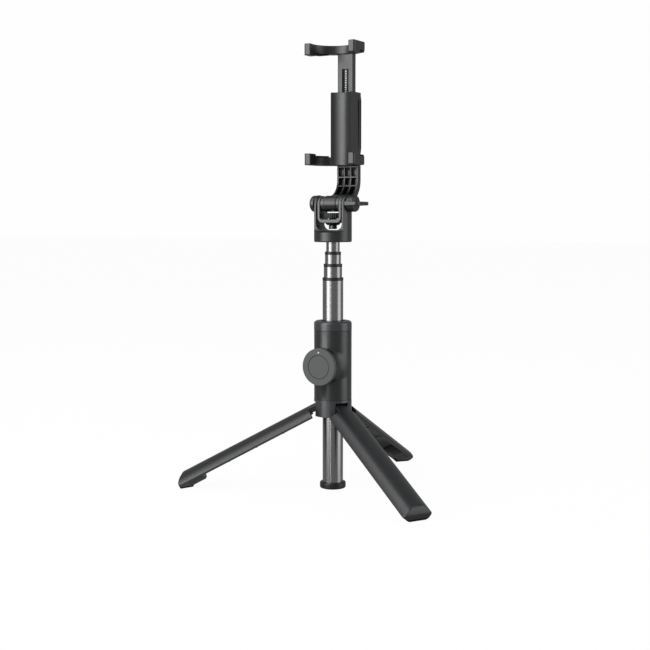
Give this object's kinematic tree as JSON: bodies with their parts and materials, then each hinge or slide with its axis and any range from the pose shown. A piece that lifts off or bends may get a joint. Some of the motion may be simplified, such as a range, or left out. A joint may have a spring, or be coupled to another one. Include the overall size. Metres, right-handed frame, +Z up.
{
  "type": "selfie stick",
  "caption": "Telescopic selfie stick with a folding three-leg base, a tilting and turning head, a sprung phone clamp, a swing-out camera screw and a pull-off shutter remote.",
  "frame": {"origin": "on the stick's axis at ground level, at the middle of the end cap's flat underside", "axes": "+Z up along the stick, -Y towards the remote's button and the phone's screen, +X to the right seen from the front"},
  "size_m": [0.2016, 0.1748, 0.3158],
  "materials": {
    "charcoal_abs": "fine satin moulding",
    "black_plastic": "fine matt moulding",
    "bright_steel": "polished drawn tube",
    "zinc_steel": "plated",
    "black_rubber": "matt",
    "grey_abs": "fine satin moulding",
    "brass": "turned",
    "board_green": "solder mask",
    "light_pipe": "clear moulding"
  },
  "bodies": {
    "handle": {"handle_shell": "charcoal_abs", "guide_sleeve": "black_plastic", "top_collar": "charcoal_abs", "leg_hub": "charcoal_abs", "hub_screws": "zinc_steel", "hinge_pins": "zinc_steel"},
    "leg_left": {"leg_left": "charcoal_abs", "foot_block_left": "black_plastic", "sole_left": "black_rubber"},
    "leg_right": {"leg_right": "charcoal_abs", "foot_block_right": "black_plastic", "sole_right": "black_rubber"},
    "leg_rear": {"leg_rear": "charcoal_abs", "foot_block_rear": "black_plastic", "sole_rear": "black_rubber"},
    "pole": {"outer_tube": "bright_steel", "end_cap": "black_plastic", "mouth_bush_1": "black_plastic"},
    "section_2": {"tube_2": "bright_steel", "slider_2": "black_plastic", "mouth_bush_2": "black_plastic"},
    "section_3": {"tube_3": "bright_steel", "slider_3": "black_plastic", "mouth_bush_3": "black_plastic"},
    "section_4": {"tube_4": "bright_steel", "slider_4": "black_plastic", "swivel_plug": "black_plastic", "swivel_screw": "zinc_steel"},
    "head": {"head_cup": "charcoal_abs", "swivel_washer": "zinc_steel", "pivot_bolt": "zinc_steel", "pivot_cap": "charcoal_abs", "friction_washers": "black_plastic", "spacer_collars": "charcoal_abs"},
    "knob": {"wing_knob": "charcoal_abs", "knob_insert": "brass"},
    "yoke": {"camera_yoke": "charcoal_abs", "camera_pad": "black_rubber"},
    "camera_screw": {"camera_stud": "zinc_steel", "thumb_wheel": "black_plastic"},
    "tilt_arm": {"neck_arm": "charcoal_abs", "clamp_base": "charcoal_abs", "clamp_cover": "charcoal_abs", "cover_screws": "zinc_steel", "neck_screws": "zinc_steel", "lower_pad": "black_rubber", "clamp_spring": "zinc_steel"},
    "jaw": {"upper_jaw": "charcoal_abs", "upper_pad": "black_rubber"},
    "remote": {"remote_front": "grey_abs", "remote_back": "black_plastic", "battery_door": "black_plastic", "coin_cell": "zinc_steel", "circuit_board": "board_green", "dome_switch": "zinc_steel", "status_light": "light_pipe"},
    "button": {"remote_button": "grey_abs"}
  },
  "joints": [
    {"name": "leg_left_fold", "type": "hinge", "parent": "handle", "child": "leg_left", "pos_m": [-0.00866, -0.005, 0.0591], "axis": [0.5, -0.866, 0], "range_deg": [0, 62]},
    {"name": "leg_right_fold", "type": "hinge", "parent": "handle", "child": "leg_right", "pos_m": [0.00866, -0.005, 0.0591], "axis": [0.5, 0.866, 0], "range_deg": [0, 62]},
    {"name": "leg_rear_fold", "type": "hinge", "parent": "handle", "child": "leg_rear", "pos_m": [0, 0.01, 0.0591], "axis": [-1, 0, 0], "range_deg": [0, 62]},
    {"name": "pole_slide", "type": "slide", "parent": "handle", "child": "pole", "axis": [0, 0, 1], "range_m": [-0.03, 0.04]},
    {"name": "section_2_slide", "type": "slide", "parent": "pole", "child": "section_2", "axis": [0, 0, 1], "range_m": [-0.0073, 0.11]},
    {"name": "section_3_slide", "type": "slide", "parent": "section_2", "child": "section_3", "axis": [0, 0, 1], "range_m": [-0.0062, 0.098]},
    {"name": "section_4_slide", "type": "slide", "parent": "section_3", "child": "section_4", "axis": [0, 0, 1], "range_m": [-0.0066, 0.088]},
    {"name": "head_pan", "type": "hinge", "parent": "section_4", "child": "head", "pos_m": [0, 0, 0.1768], "axis": [0, 0, 1], "continuous": true},
    {"name": "head_tilt", "type": "hinge", "parent": "head", "child": "tilt_arm", "pos_m": [0, 0, 0.2038], "axis": [1, 0, 0], "range_deg": [-30, 170]},
    {"name": "yoke_swing", "type": "hinge", "parent": "head", "child": "yoke", "pos_m": [0, 0, 0.2038], "axis": [1, 0, 0], "range_deg": [-180, 35]},
    {"name": "camera_screw_turn", "type": "hinge", "parent": "yoke", "child": "camera_screw", "pos_m": [0, 0, 0.1935], "axis": [0, 0, 1], "continuous": true},
    {"name": "knob_turn", "type": "hinge", "parent": "head", "child": "knob", "pos_m": [0.0157, 0, 0.2038], "axis": [1, 0, 0], "range_deg": [-20, 340]},
    {"name": "jaw_slide", "type": "slide", "parent": "tilt_arm", "child": "jaw", "axis": [0, 0, 1], "range_m": [-0.015, 0.019], "stiffness_N_per_m": 120, "deforming": ["clamp_spring"]},
    {"name": "remote_pull", "type": "slide", "parent": "handle", "child": "remote", "axis": [0, -1, 0], "range_m": [0, 0.02]},
    {"name": "button_press", "type": "slide", "parent": "remote", "child": "button", "axis": [0, 1, 0], "range_m": [0, 0.0006], "stiffness_N_per_m": 900}
  ]
}
